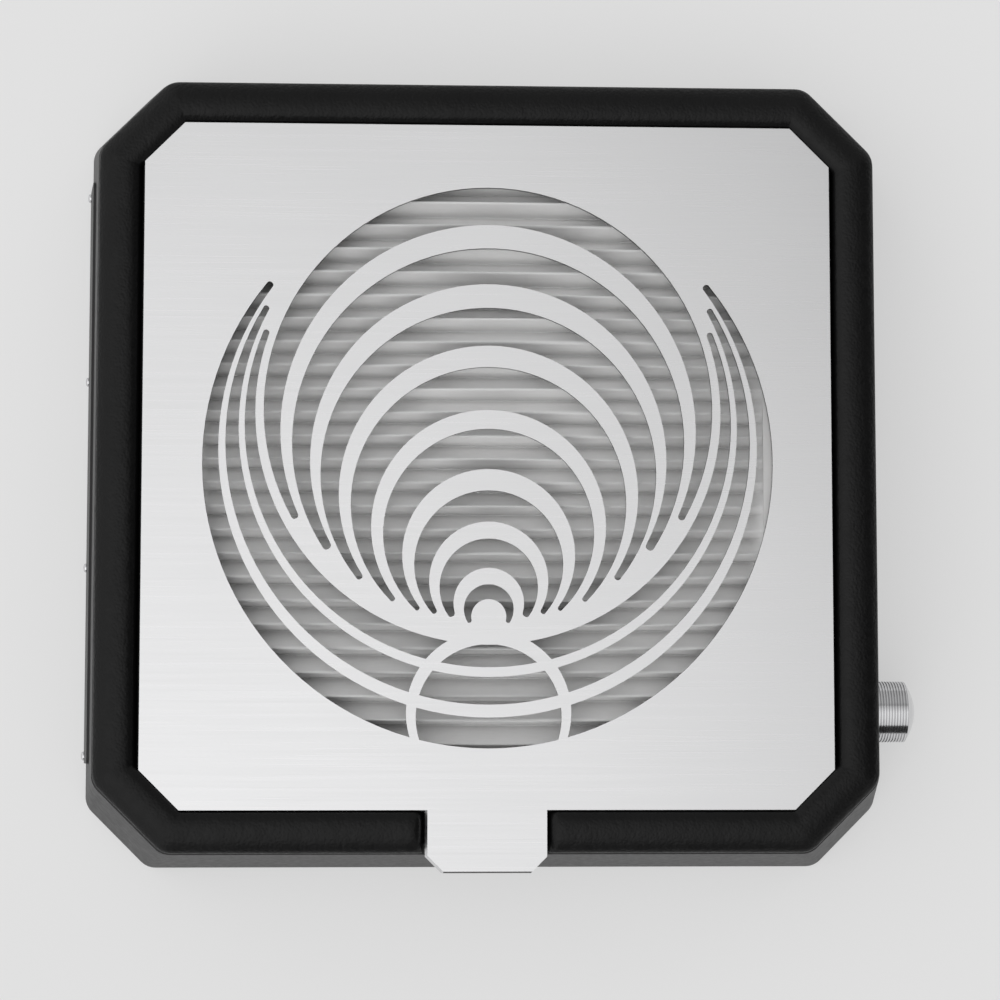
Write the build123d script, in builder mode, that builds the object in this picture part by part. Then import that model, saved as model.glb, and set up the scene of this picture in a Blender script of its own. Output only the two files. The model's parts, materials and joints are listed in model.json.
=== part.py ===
"""Desktop downdraft dust and fume extractor: a low octagonal box with a padded rim.

A lift-out grille plate lies in the rim, a pleated cartridge filter sits under it, and a
motorised impeller draws air down through both and out of a slotted plate in the back wall.
A plain panel in the left wall covers a service window, and a knob on the right wall sets the
fan's speed.

Everything is drawn about the housing's vertical axis, with the feet standing on Z = 0,
X to the right, and the grille's tab at the front, towards -Y.  The last block moves every
piece by the same amount, so that the origin is the middle of the whole footprint.
"""
import os
from math import asin, atan, cos, radians, sin, sqrt

from build123d import *

os.makedirs("parts", exist_ok=True)

# ---- Driving dimensions, in millimetres -------------------------------------------------

# Heights above the table
HOUSING_BASE = 6.0
COVER_BOTTOM = 6.5
COVER_TOP = 8.5
DECK_BOTTOM = 35.0
DECK_TOP = 37.0
BOARD_BOTTOM = 50.0
SHELL_TOP = 56.0
WIDEST_RIM = 60.0
SEAT_TOP = 61.0
PAD_CROWN = 66.0

# Housing: size at the widest level of the rim, and how far each wall leans out below it
RIM_HALF_X = 150.2
RIM_HALF_Y = 148.3
RIM_CUT = 26.8
FLARE = 7.6
CUT_SHRINK = 0.29
CORNER_ROUND = 8.5
SKIN = 4.0
WALL = 8.0
FEET_CUT = 66.0
DECK_CUT = 44.0
LEAN = atan(FLARE / (WIDEST_RIM - HOUSING_BASE))
WELD = 4.0
THROUGH = 40.0

# Grille plate
PLATE_HALF_X = 132.5
PLATE_HALF_Y = 132.0
PLATE_CUT = 15.3
PLATE_THICK = 2.0
PLATE_BEVEL = 0.15
TAB_LEFT = -24.2
TAB_RIGHT = 22.2
TAB_REACH = 23.6
TAB_CUT = 6.2
TAB_BEVEL = 1.0
TAB_FRONT_BEVEL = 0.6
TAB_FRONT_DROP = 0.42
RING_BAND = ((-96.8, 27.8), (-95.1, 31.5))
TIP_ROUNDING = 0.46

# Circles of the grille, each as (centre Y, radius).  A crescent is open between its outer
# and its inner circle, down to the height of its two tips.
CRESCENTS = (
    ((21.2, 86.2), (13.0, 79.8), -21.2),
    ((8.4, 75.3), (1.3, 68.4), -32.8),
    ((-3.9, 64.4), (-11.6, 57.4), -44.2),
    ((-15.3, 52.8), (-24.1, 45.0), -52.5),
    ((-26.8, 40.4), (-35.0, 33.1), -56.0),
    ((-38.6, 28.5), (-44.9, 22.8), -57.3),
    ((-47.4, 18.8), (-53.3, 13.5), -58.5),
    ((-55.6, 9.5), (-58.5, 6.7), -60.8),
)
# The three bowls are open below, up to the height of their tips.
BOWLS = (
    ((0.9, 109.5), (6.5, 103.4), 69.8),
    ((8.7, 100.7), (14.2, 95.7), 60.6),
    ((15.6, 93.4), (20.2, 89.4), 51.3),
)

# Rim
RIM_OPENING = 119.0
SEAT_GAP = 0.5
PAD_GAP = 0.9
PAD_NOTCH = (-24.9, 22.9)
PAD_OUTER_ROUND = 5.5
MAGNET_R = 5.0
MAGNET_THICK = 3.0
MAGNET_X = 126.0
MAGNET_Y = 88.0
BOARD_GAP = 0.3
OPENING_ROUND = 3.0

# Filter cartridge
FILTER_SHIFT = -2.5
FILTER_HALF = 116.0
FILTER_WALL = 3.0
FILTER_END_LIP = 7.0
FILTER_SIDE_LIP = 5.0
FILTER_BOTTOM = 39.5
FILTER_TOP = 58.0
LIP_THICK = 1.2
PLEAT_PITCH = 9.1
PLEAT_FOLDS = 50
PLEAT_LOW = 41.0
PLEAT_HIGH = 56.6
PAPER = 0.7
MEDIA_HALF_X = 112.9
PLEAT_BACK = 112.05
FILTER_ROUND = 2.0
GASKET_WIDTH = 8.0

# Deck, inlet ring and inlet guard
DECK_GAP = 0.3
DECK_CORNER = DECK_CUT + 1.5
DECK_HOLE_R = 48.0
INLET_FLANGE_R = 60.0
INLET_SKIN = 1.5
INLET_LIP_Z = 29.0
GUARD_WIRE_R = 0.9
GUARD_RINGS = (18.0, 32.0, 46.0)
GUARD_REACH = 57.0
GUARD_SCREW_R = 54.0
GUARD_EAR = 7.0

# Fan and motor
INLET_R = 44.0
IMPELLER_R = 76.0
EYE_R = 47.5
BACKPLATE_BOTTOM = 12.5
SHROUD_BOTTOM = 30.0
IMPELLER_SKIN = 1.5
BLADE_COUNT = 9
BLADE_THICK = 1.8
ROTOR_R = 26.0
ROTOR_SKIN = 1.5
ROTOR_TOP = 27.5
MAGNET_RING_R = 22.0
STATOR_R = 21.0
STATOR_LOW = 13.0
STATOR_HIGH = 23.0
TOOTH_COUNT = 9
TOOTH_WIDTH = 4.0
SHAFT_R = 2.5
RUNNING_GAP = 0.05
BEARING_R = 5.5
BEARING_WIDTH = 5.0
BEARING_TUBE_R = 7.5
BRACKET_R = 34.0
BRACKET_THICK = 2.0
BEARING_LEVELS = (10.7, 20.0)
SHAFT_LOW = 10.7
SHAFT_HIGH = 29.0
BRACKET_SCREW_R = 29.0
TOOTH_TIP = 2.5
TOOTH_ROOT = 0.5
YOKE_R = 11.0
SLOT_OPENING = 2.2
COIL_WIDTH = 7.2
COIL_FROM = 11.7
COIL_TO = 18.0
COIL_OVERHANG = 1.8
MAGNET_RING_LOW = 12.9
ROTOR_VENT_PLACE_R = 16.0
ROTOR_VENT_R = 2.5
BLADE_ROOT_R = 48.5
BLADE_SWEEP = 30.0
BLADE_BOW = 4.0
HUB_SKIN = 2.0

# Knob and potentiometer, on a level axis along X
KNOB_Y = -94.3
KNOB_Z = 25.0
KNOB_R = 12.0
KNOB_BACK = 153.2
KNOB_SHOULDER = 166.3
KNOB_END = 170.5
KNOB_BORE_END = 163.0
GROOVE_PITCH = 1.1
GROOVE_DEPTH = 0.3
KNOB_RECESS_R = 13.2
KNOB_RECESS_FLOOR = 152.5
POT_FACE = 146.0
POT_DEPTH = 9.0
POT_HALF = 8.5
BUSHING_R = 3.5
BUSHING_END = 154.0
POT_SHAFT_R = 3.0
POT_ROOM = 1.5
NUT_FLATS = 10.0
NUT_THICK = 1.4
POT_SHAFT_START = 139.0
SET_SCREW_X = 158.6
SET_SCREW_R = 1.5
SET_SCREW_OUT = 10.8
SET_SCREW_KEY_R = 0.75
NUT_WELL_R = 6.5
POT_LAND = 22.0

# Cord gland, on a level axis along Y
GLAND_X = 60.0
GLAND_Z = 18.0
GLAND_BORE_R = 3.4
GLAND_THREAD_R = 6.0
GLAND_FLANGE_R = 9.5
GLAND_SEAT = 150.3
GLAND_END = 157.0
GLAND_INNER_FACE = 143.5
GLAND_LAND = 24.0
GLAND_NUT_R = 9.0
GLAND_NUT_THICK = 3.5
GLAND_FLANGE_THICK = 3.0
GLAND_NECK_R = 7.2
GLAND_TIP_R = 5.2

# Service panel on the leaning left wall, and exhaust plate on the leaning back wall
PANEL_MIDDLE_Z = 20.6
PANEL_HEIGHT = 25.0
PANEL_THICK = 1.0
PANEL_ROUND = 3.0
SERVICE_HALF = 114.6
SERVICE_WINDOW_HALF = 102.0
EXHAUST_X = -36.0
EXHAUST_HALF = 80.0
EXHAUST_WINDOW_HALF = 72.0
WINDOW_HEIGHT = 14.0
WINDOW_RISE = 3.0
SLOT_PITCH = 8.0
SLOT_WIDTH = 3.4
SLOT_HEIGHT = 12.0
PANEL_SCREW_DROP = 9.0
SERVICE_SCREW_PITCH = 74.5
EXHAUST_SCREW_PITCH = 50.0
PANEL_SCREW_R = 1.0
PANEL_HEAD_R = 1.8
PANEL_HEAD_HEIGHT = 1.1
PANEL_SCREW_LENGTH = 6.0
SCREW_KEY_R = 0.75
SCREW_KEY_DEPTH = 0.6

# Places on the corner diagonals, as (X, Y) of the corner at the back right
FOOT_PLACE = (123.5, 121.5)
COVER_SCREW_PLACE = (133.2, 130.8)
DECK_SCREW_PLACE = (118.5, 116.5)
RIM_SCREW_PLACE = (130.0, 127.5)

# Bottom cover and feet
COVER_GAP = 0.4
FOOT_R = 9.0
FOOT_TOE_R = 8.0
FOOT_TOE_ROUND = 1.2
FOOT_WELL_R = 4.0
FOOT_WELL = 3.0

# Control board, and the lead from it to the motor
BOARD_X = 98.0
BOARD_Y = -87.0
BOARD_WIDTH = 42.0
BOARD_DEPTH = 40.0
BOARD_LEVEL = 12.5
BOARD_THICK = 1.6
STANDOFF_R = 2.6
STANDOFF_INSET = 4.0
STUD_R = 1.2
STUD_NUT_R = 2.2
FIN_PITCH = 3.0
FIN_SLOT = 1.6
HEATSINK = (16.0, 10.0, 15.0)
TRIAC_BODY = (10.0, 4.5, 9.0)
TRIAC_TAB = (10.0, 1.3, 5.0)
TRIAC_PIN = (0.8, 0.6, 1.0)
CAPACITOR = (9.0, 18.0, 12.0)
TERMINALS = (25.0, 9.0, 10.0)
TERMINAL_PITCH = 5.0
TERMINAL_WELL_R = 1.8
LEAD_R = 1.1
LEAD_BEND = 14.0

# Screw sizes
SCREW_R = 1.5
HEAD_R = 3.0
HEAD_HEIGHT = 1.7
WASHER_HEAD = 1.2
FOOT_SCREW_BITE = 10.0
COVER_SCREW_BITE = 8.0
BOARD_SCREW_BITE = 9.0

# How a cylinder, cone or box stands on its place: upwards from it, or hanging below it
UP = (Align.CENTER, Align.CENTER, Align.MIN)
DOWN = (Align.CENTER, Align.CENTER, Align.MAX)

PIECES = {}


# ---- Helpers ------------------------------------------------------------------------------

def keep(name, piece):
    """Remember a finished piece under its node's name."""
    PIECES[name] = piece


def corners(place):
    """The same place in all four corners."""
    x, y = place
    return [(sx * x, sy * y) for sx in (-1, 1) for sy in (-1, 1)]


def at_height(places, z):
    return [(x, y, z) for x, y in places]


def polar_point(radius, degrees_round):
    return (radius * cos(radians(degrees_round)), radius * sin(radians(degrees_round)))


def octagon(half_x, half_y, cut):
    """Corner points of a rectangle whose corners are cut at 45 degrees."""
    quarter = [(half_x, half_y - cut), (half_x - cut, half_y)]
    points = []
    for sign_x, sign_y in ((1, 1), (-1, 1), (-1, -1), (1, -1)):
        pair = [(sign_x * x, sign_y * y) for x, y in quarter]
        points += pair if sign_x == sign_y else pair[::-1]
    return points


def lean_out(z):
    """How far the walls stand out at a height, beyond the rim's widest level."""
    return FLARE * (WIDEST_RIM - z) / (WIDEST_RIM - HOUSING_BASE)


def wall_section(z, inset=0.0, cut=None):
    """Level section of the housing at a height, drawn in by an inset."""
    grow = lean_out(z) - inset
    own_cut = RIM_CUT - CUT_SHRINK * lean_out(z) - inset * (2 - sqrt(2))
    outline = octagon(RIM_HALF_X + grow, RIM_HALF_Y + grow, own_cut if cut is None else cut)
    with BuildSketch(Plane.XY.offset(z)) as section:
        Polygon(*outline, align=None)
    return section.sketch


def octagon_face(z, half_x, half_y, cut):
    with BuildSketch(Plane.XY.offset(z)) as section:
        Polygon(*octagon(half_x, half_y, cut), align=None)
    return section.sketch


def along_ray(start_y, angle, circle):
    """Point where a ray from (0, start_y) meets a circle centred on the Y axis."""
    centre_y, radius = circle
    rise = centre_y - start_y
    reach = rise * sin(angle) + sqrt(radius ** 2 - (rise * cos(angle)) ** 2)
    return (reach * cos(angle), start_y + reach * sin(angle))


def crescent(outer, inner, tip_y, side):
    """Opening between two circles, from tip to tip, through its top (1) or bottom (-1)."""
    start_y = (outer[0] + inner[0]) / 2
    mean_r = (outer[1] + inner[1]) / 2
    angle = asin((tip_y - start_y) / mean_r)
    outer_tip = along_ray(start_y, angle, outer)
    inner_tip = along_ray(start_y, angle, inner)
    outer_far = (0, outer[0] + side * outer[1])
    inner_far = (0, inner[0] + side * inner[1])
    width = sqrt((outer_tip[0] - inner_tip[0]) ** 2 + (outer_tip[1] - inner_tip[1]) ** 2)
    with BuildSketch() as opening:
        with BuildLine():
            ThreePointArc(outer_tip, outer_far, (-outer_tip[0], outer_tip[1]))
            Line((-outer_tip[0], outer_tip[1]), (-inner_tip[0], inner_tip[1]))
            ThreePointArc((-inner_tip[0], inner_tip[1]), inner_far, inner_tip)
            Line(inner_tip, outer_tip)
        make_face()
        fillet(opening.vertices(), TIP_ROUNDING * width)
    return opening.sketch


# ---- Housing shell --------------------------------------------------------------------------

left_wall = Plane(
    origin=(-RIM_HALF_X - lean_out(PANEL_MIDDLE_Z), 0, PANEL_MIDDLE_Z),
    x_dir=(0, -1, 0),
    z_dir=(-cos(LEAN), 0, sin(LEAN)),
)
back_wall = Plane(
    origin=(EXHAUST_X, RIM_HALF_Y + lean_out(PANEL_MIDDLE_Z), PANEL_MIDDLE_Z),
    x_dir=(-1, 0, 0),
    z_dir=(0, cos(LEAN), sin(LEAN)),
)


def screws_along(pitch):
    """Places of a panel's four screws, near its lower edge."""
    return [(n * pitch, -PANEL_SCREW_DROP) for n in (-1.5, -0.5, 0.5, 1.5)]


PANELS = (
    (left_wall, screws_along(SERVICE_SCREW_PITCH), SERVICE_WINDOW_HALF),
    (back_wall, screws_along(EXHAUST_SCREW_PITCH), EXHAUST_WINDOW_HALF),
)
pot_axis = Plane(origin=(KNOB_RECESS_FLOOR, KNOB_Y, KNOB_Z), z_dir=(1, 0, 0))
gland_axis = Plane(origin=(GLAND_X, GLAND_SEAT, GLAND_Z), z_dir=(0, 1, 0))

with BuildPart() as housing_shell:
    loft([wall_section(HOUSING_BASE), wall_section(SHELL_TOP)], ruled=True)
    fillet(housing_shell.edges().filter_by(lambda e: abs(e.tangent_at(0).Z) > 0.5), CORNER_ROUND)
    loft([wall_section(HOUSING_BASE, SKIN), wall_section(COVER_TOP, SKIN)],
         ruled=True, mode=Mode.SUBTRACT)
    loft([wall_section(COVER_TOP, WALL, FEET_CUT), wall_section(DECK_BOTTOM, WALL, FEET_CUT)],
         ruled=True, mode=Mode.SUBTRACT)
    loft([wall_section(DECK_BOTTOM, SKIN, DECK_CUT), wall_section(BOARD_BOTTOM, SKIN, DECK_CUT)],
         ruled=True, mode=Mode.SUBTRACT)
    loft([wall_section(BOARD_BOTTOM, SKIN), wall_section(SHELL_TOP, SKIN)],
         ruled=True, mode=Mode.SUBTRACT)
    # flat lands inside the leaning walls, for the potentiometer and for the gland's nut
    with Locations((POT_FACE + WELD / 2, KNOB_Y, KNOB_Z)):
        Box(WELD, POT_LAND, 2 * (DECK_BOTTOM - KNOB_Z))
    with Locations((GLAND_X, GLAND_INNER_FACE + WELD / 2, COVER_TOP)):
        Box(GLAND_LAND, WELD, DECK_BOTTOM - COVER_TOP, align=UP)
    # pocket in the corner post, for the body of the potentiometer
    with Locations((POT_FACE, KNOB_Y, KNOB_Z)):
        Box(THROUGH, 2 * (POT_HALF + POT_ROOM), 2 * (POT_HALF + POT_ROOM),
            align=(Align.MAX, Align.CENTER, Align.CENTER), mode=Mode.SUBTRACT)
    # knob recess and bushing hole
    with Locations(pot_axis):
        Cylinder(KNOB_RECESS_R, THROUGH, align=UP, mode=Mode.SUBTRACT)
        Cylinder(BUSHING_R, THROUGH, mode=Mode.SUBTRACT)
    # round flat for the gland, and its hole
    with Locations(gland_axis):
        Cylinder(GLAND_FLANGE_R + 1, THROUGH, align=UP, mode=Mode.SUBTRACT)
        Cylinder(GLAND_THREAD_R, THROUGH, mode=Mode.SUBTRACT)
    # service and exhaust windows, and the holes of their panels' screws
    for wall, screw_places, window_half in PANELS:
        with BuildSketch(wall):
            with Locations((0, WINDOW_RISE)):
                SlotOverall(2 * window_half, WINDOW_HEIGHT)
        extrude(amount=-2 * WALL, mode=Mode.SUBTRACT)
        with BuildSketch(wall):
            with Locations(*screw_places):
                Circle(PANEL_SCREW_R)
        extrude(amount=-PANEL_SCREW_LENGTH, mode=Mode.SUBTRACT)
    # screw holes in the corner posts
    with Locations(*at_height(corners(FOOT_PLACE), COVER_TOP)):
        Cylinder(SCREW_R, FOOT_SCREW_BITE, align=UP, mode=Mode.SUBTRACT)
    with Locations(*at_height(corners(COVER_SCREW_PLACE), COVER_TOP)):
        Cylinder(SCREW_R, COVER_SCREW_BITE, align=UP, mode=Mode.SUBTRACT)
    with Locations(*at_height(corners(DECK_SCREW_PLACE), DECK_BOTTOM)):
        Cylinder(SCREW_R, BOARD_SCREW_BITE, align=DOWN, mode=Mode.SUBTRACT)
    with Locations(*at_height(corners(RIM_SCREW_PLACE), BOARD_BOTTOM)):
        Cylinder(SCREW_R, BOARD_SCREW_BITE, align=DOWN, mode=Mode.SUBTRACT)
keep("housing_shell", housing_shell.part)

# ---- Bottom cover, feet and their screws ----------------------------------------------------

with BuildPart() as bottom_cover:
    with BuildSketch(Plane.XY.offset(COVER_BOTTOM)):
        add(wall_section(COVER_TOP, SKIN + COVER_GAP))
    extrude(amount=COVER_TOP - COVER_BOTTOM)
    with Locations(*at_height(corners(FOOT_PLACE) + corners(COVER_SCREW_PLACE), COVER_BOTTOM)):
        Cylinder(SCREW_R, THROUGH, mode=Mode.SUBTRACT)
keep("bottom_cover", bottom_cover.part)

FOOT_NAMES = ("foot_front_left", "foot_back_left", "foot_front_right", "foot_back_right")
for foot_name, (foot_x, foot_y) in zip(FOOT_NAMES, corners(FOOT_PLACE)):
    with BuildPart() as foot:
        with Locations((foot_x, foot_y, 0)):
            Cone(FOOT_TOE_R, FOOT_R, COVER_BOTTOM, align=UP)
        fillet(foot.edges().filter_by(GeomType.CIRCLE).sort_by(Axis.Z)[0], FOOT_TOE_ROUND)
        with Locations((foot_x, foot_y, 0)):
            Cylinder(FOOT_WELL_R, FOOT_WELL, align=UP, mode=Mode.SUBTRACT)
            Cylinder(SCREW_R, THROUGH, mode=Mode.SUBTRACT)
    keep(foot_name, foot.part)

with BuildPart() as foot_screws:
    with Locations(*at_height(corners(FOOT_PLACE), FOOT_WELL)):
        Cylinder(HEAD_R, HEAD_HEIGHT, align=DOWN)
        Cylinder(SCREW_R, COVER_TOP - FOOT_WELL + FOOT_SCREW_BITE - 1.5, align=UP)
keep("foot_screws", foot_screws.part)

with BuildPart() as cover_screws:
    with Locations(*at_height(corners(COVER_SCREW_PLACE), COVER_BOTTOM)):
        Cylinder(HEAD_R, HEAD_HEIGHT, align=DOWN)
        Cylinder(SCREW_R, COVER_TOP - COVER_BOTTOM + COVER_SCREW_BITE - 1, align=UP)
    fillet(cover_screws.edges().group_by(Axis.Z)[0], 0.8)
keep("cover_screws", cover_screws.part)

# ---- Deck, inlet ring and inlet guard ---------------------------------------------------------

deck_shrink = lean_out(DECK_BOTTOM) - lean_out(DECK_TOP)
with BuildPart() as deck:
    with BuildSketch(Plane.XY.offset(DECK_BOTTOM)):
        add(wall_section(DECK_BOTTOM, SKIN + DECK_GAP + deck_shrink, DECK_CORNER))
    extrude(amount=DECK_TOP - DECK_BOTTOM)
    with Locations((0, 0, DECK_BOTTOM)):
        Cylinder(DECK_HOLE_R, THROUGH, mode=Mode.SUBTRACT)
        with PolarLocations(GUARD_SCREW_R, 4):
            Cylinder(SCREW_R, THROUGH, mode=Mode.SUBTRACT)
    with Locations(*at_height(corners(DECK_SCREW_PLACE), DECK_TOP)):
        Cylinder(SCREW_R, THROUGH, mode=Mode.SUBTRACT)
        Cone(SCREW_R, HEAD_R, HEAD_R - SCREW_R, align=DOWN, mode=Mode.SUBTRACT)
keep("deck", deck.part)

with BuildPart() as deck_screws:
    with Locations(*at_height(corners(DECK_SCREW_PLACE), DECK_TOP)):
        Cone(SCREW_R, HEAD_R, HEAD_R - SCREW_R, align=DOWN)
        Cylinder(SCREW_R, DECK_TOP - DECK_BOTTOM + BOARD_SCREW_BITE - 1, align=DOWN)
keep("deck_screws", deck_screws.part)

with BuildPart() as inlet_ring:
    with BuildSketch(Plane.XZ):
        with BuildLine():
            Line((INLET_R, INLET_LIP_Z), (INLET_R, DECK_BOTTOM - INLET_SKIN))
            Line((INLET_R, DECK_BOTTOM - INLET_SKIN), (INLET_R + INLET_SKIN, DECK_BOTTOM))
            Line((INLET_R + INLET_SKIN, DECK_BOTTOM), (INLET_FLANGE_R, DECK_BOTTOM))
            Line((INLET_FLANGE_R, DECK_BOTTOM), (INLET_FLANGE_R, DECK_BOTTOM - INLET_SKIN))
            Line((INLET_FLANGE_R, DECK_BOTTOM - INLET_SKIN),
                 (INLET_R + INLET_SKIN, DECK_BOTTOM - INLET_SKIN))
            Line((INLET_R + INLET_SKIN, DECK_BOTTOM - INLET_SKIN),
                 (INLET_R + INLET_SKIN, INLET_LIP_Z))
            Line((INLET_R + INLET_SKIN, INLET_LIP_Z), (INLET_R, INLET_LIP_Z))
        make_face()
    revolve(axis=Axis.Z)
    with Locations((0, 0, DECK_BOTTOM)):
        with PolarLocations(GUARD_SCREW_R, 4):
            Cylinder(SCREW_R, THROUGH, mode=Mode.SUBTRACT)
keep("inlet_ring", inlet_ring.part)

guard_level = DECK_TOP + GUARD_WIRE_R
guard_flat = 1.6 * GUARD_WIRE_R
with BuildPart() as inlet_guard:
    for ring_r in GUARD_RINGS:
        with Locations((0, 0, guard_level)):
            Torus(ring_r, GUARD_WIRE_R)
    with Locations((0, 0, guard_level)):
        Box(2 * GUARD_REACH, 2 * GUARD_WIRE_R, guard_flat)
        Box(2 * GUARD_WIRE_R, 2 * GUARD_REACH, guard_flat)
        with PolarLocations(GUARD_SCREW_R, 4):
            Box(GUARD_EAR, GUARD_EAR, guard_flat)
            Cylinder(SCREW_R, THROUGH, mode=Mode.SUBTRACT)
keep("inlet_guard", inlet_guard.part)

with BuildPart() as guard_screws:
    with Locations((0, 0, guard_level + guard_flat / 2)):
        with PolarLocations(GUARD_SCREW_R, 4):
            Cylinder(HEAD_R, WASHER_HEAD, align=UP)
            Cylinder(SCREW_R, 6, align=DOWN)
keep("guard_screws", guard_screws.part)

# ---- Rim frame, magnets and pad ----------------------------------------------------------------

seat_half_x = PLATE_HALF_X + SEAT_GAP
seat_half_y = PLATE_HALF_Y + SEAT_GAP
seat_cut = PLATE_CUT + SEAT_GAP * (2 - sqrt(2))

with BuildPart() as rim_frame:
    with BuildSketch(Plane.XY.offset(BOARD_BOTTOM)):
        add(wall_section(SHELL_TOP, SKIN + BOARD_GAP))
    extrude(amount=SHELL_TOP - BOARD_BOTTOM)
    with BuildSketch(Plane.XY.offset(SHELL_TOP)):
        add(octagon_face(SHELL_TOP, seat_half_x, seat_half_y, seat_cut))
    extrude(amount=SEAT_TOP - SHELL_TOP)
    with BuildSketch(Plane.XY.offset(BOARD_BOTTOM)):
        RectangleRounded(2 * RIM_OPENING, 2 * RIM_OPENING, OPENING_ROUND)
    extrude(amount=THROUGH, mode=Mode.SUBTRACT)
    with Locations(*at_height(corners((MAGNET_X, MAGNET_Y)), SEAT_TOP)):
        Cylinder(MAGNET_R, MAGNET_THICK, align=DOWN, mode=Mode.SUBTRACT)
    with Locations(*at_height(corners(RIM_SCREW_PLACE), SHELL_TOP)):
        Cylinder(SCREW_R, THROUGH, mode=Mode.SUBTRACT)
        Cylinder(HEAD_R, HEAD_HEIGHT, align=DOWN, mode=Mode.SUBTRACT)
keep("rim_frame", rim_frame.part)

with BuildPart() as plate_magnets:
    with Locations(*at_height(corners((MAGNET_X, MAGNET_Y)), SEAT_TOP)):
        Cylinder(MAGNET_R, MAGNET_THICK, align=DOWN)
keep("plate_magnets", plate_magnets.part)

with BuildPart() as rim_frame_screws:
    with Locations(*at_height(corners(RIM_SCREW_PLACE), SHELL_TOP)):
        Cylinder(HEAD_R, HEAD_HEIGHT, align=DOWN)
        Cylinder(SCREW_R, SHELL_TOP - BOARD_BOTTOM + BOARD_SCREW_BITE - 2, align=DOWN)
keep("rim_frame_screws", rim_frame_screws.part)

pad_half_x = PLATE_HALF_X + PAD_GAP
pad_half_y = PLATE_HALF_Y + PAD_GAP
pad_cut = PLATE_CUT + PAD_GAP * (2 - sqrt(2))
with BuildPart() as rim_pad:
    with BuildSketch(Plane.XY.offset(SHELL_TOP)):
        Polygon(*octagon(RIM_HALF_X, RIM_HALF_Y, RIM_CUT), align=None)
        Polygon(*octagon(pad_half_x, pad_half_y, pad_cut), align=None, mode=Mode.SUBTRACT)
        with Locations(((PAD_NOTCH[0] + PAD_NOTCH[1]) / 2, -RIM_HALF_Y)):
            Rectangle(PAD_NOTCH[1] - PAD_NOTCH[0], THROUGH, mode=Mode.SUBTRACT)
    extrude(amount=PAD_CROWN - SHELL_TOP)
    crown = rim_pad.faces().sort_by(Axis.Z)[-1]
    outer_crown = crown.edges().filter_by(
        lambda e: max(abs(e.center().X) / RIM_HALF_X, abs(e.center().Y) / RIM_HALF_Y) > 0.97
        or abs(e.center().X) + abs(e.center().Y) > RIM_HALF_X + RIM_HALF_Y - RIM_CUT - 2
    )
    fillet(outer_crown, PAD_OUTER_ROUND)
keep("rim_pad", rim_pad.part)

# ---- Grille plate -------------------------------------------------------------------------------

tab_front = -PLATE_HALF_Y - TAB_REACH
with BuildPart() as grille_plate:
    with BuildSketch(Plane.XY.offset(SEAT_TOP)) as plate_outline:
        Polygon(*octagon(PLATE_HALF_X, PLATE_HALF_Y, PLATE_CUT), align=None)
        Polygon(
            (TAB_LEFT, -PLATE_HALF_Y + 1),
            (TAB_LEFT, tab_front + TAB_CUT),
            (TAB_LEFT + TAB_CUT, tab_front),
            (TAB_RIGHT - TAB_CUT, tab_front),
            (TAB_RIGHT, tab_front + TAB_CUT),
            (TAB_RIGHT, -PLATE_HALF_Y + 1),
            align=None,
        )
    extrude(amount=PLATE_THICK)
    tab_left_edges = grille_plate.faces().sort_by(Axis.Z)[-1].edges().filter_by(
        lambda e: e.center().Y < -PLATE_HALF_Y - 1 and e.center().X < TAB_LEFT + TAB_CUT - 1
    )
    chamfer(tab_left_edges, TAB_BEVEL)
    tab_top = grille_plate.faces().sort_by(Axis.Z)[-1]
    tab_front_edge = tab_top.edges().filter_by(Axis.X).sort_by(Axis.Y)[0]
    chamfer(tab_front_edge, TAB_FRONT_BEVEL, TAB_FRONT_DROP, reference=tab_top)
    plate_top = grille_plate.faces().sort_by(Axis.Z)[-1]
    plate_edges = plate_top.edges().filter_by(lambda e: e.center().Y > -PLATE_HALF_Y - TAB_BEVEL / 2)
    chamfer(plate_edges, PLATE_BEVEL)
    with BuildSketch(Plane.XY.offset(SEAT_TOP)) as openings:
        for outer, inner, tip_y in BOWLS:
            add(crescent(outer, inner, tip_y, -1))
        with Locations((0, RING_BAND[1][0])):
            Circle(RING_BAND[1][1], mode=Mode.SUBTRACT)
        for outer, inner, tip_y in CRESCENTS:
            add(crescent(outer, inner, tip_y, 1))
    extrude(amount=PLATE_THICK, mode=Mode.SUBTRACT)
    with BuildSketch(Plane.XY.offset(SEAT_TOP)) as ring_openings:
        for outer, inner, tip_y in BOWLS:
            add(crescent(outer, inner, tip_y, -1))
        with Locations((0, RING_BAND[0][0])):
            Circle(RING_BAND[0][1], mode=Mode.INTERSECT)
    extrude(amount=PLATE_THICK, mode=Mode.SUBTRACT)
keep("grille_plate", grille_plate.part)

# ---- Filter cartridge ----------------------------------------------------------------------------

with BuildPart() as filter_frame:
    with BuildSketch(Plane.XY.offset(FILTER_BOTTOM)):
        with Locations((FILTER_SHIFT, 0)):
            RectangleRounded(2 * FILTER_HALF, 2 * FILTER_HALF, FILTER_ROUND)
            Rectangle(2 * (FILTER_HALF - FILTER_WALL), 2 * (FILTER_HALF - FILTER_WALL),
                      mode=Mode.SUBTRACT)
    extrude(amount=FILTER_TOP - FILTER_BOTTOM)
    with BuildSketch(Plane.XY.offset(FILTER_TOP - LIP_THICK), Plane.XY.offset(FILTER_BOTTOM)):
        with Locations((FILTER_SHIFT, 0)):
            RectangleRounded(2 * FILTER_HALF, 2 * FILTER_HALF, FILTER_ROUND)
            Rectangle(2 * (FILTER_HALF - FILTER_END_LIP), 2 * (FILTER_HALF - FILTER_SIDE_LIP),
                      mode=Mode.SUBTRACT)
    extrude(amount=LIP_THICK)
keep("filter_frame", filter_frame.part)

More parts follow.
